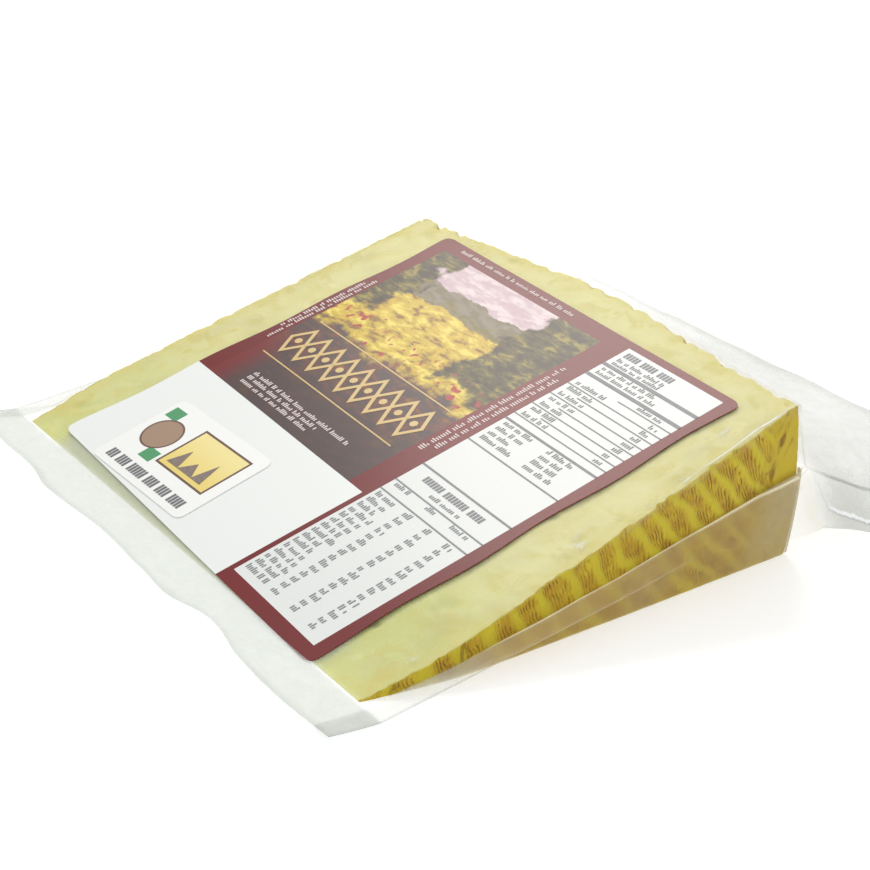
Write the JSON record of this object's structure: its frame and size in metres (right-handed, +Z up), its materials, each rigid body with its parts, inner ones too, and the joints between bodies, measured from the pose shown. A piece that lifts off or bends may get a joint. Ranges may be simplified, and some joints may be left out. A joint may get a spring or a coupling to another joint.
{
  "type": "vacuum packed manchego cheese wedge",
  "caption": "Wedge of hard sheep's milk cheese sealed in a clear film pouch with flat flanges, a printed paper label and a small sticker, lying on one cut face.",
  "frame": {"origin": "middle of the flat underside of the wedge, on the cut face it lies on", "axes": "+X from the thin edge to the thick rind edge, +Y along the axis of the cheese wheel, +Z up"},
  "size_m": [0.1412, 0.1184, 0.0323],
  "materials": {
    "film": "clear glossy vacuum film, frosted where it is sealed",
    "cheese": "pale straw yellow cut cheese, smooth and slightly waxy",
    "rind": "yellow ochre rind with brown pressed grooves",
    "label_paper": "semi-gloss coated paper, dark red, white and printed fields",
    "sticker_paper": "semi-gloss white paper with yellow, brown and green print"
  },
  "bodies": {
    "root": {"bag": "film", "label": "label_paper", "sticker": "sticker_paper"}
  },
  "joints": []
}
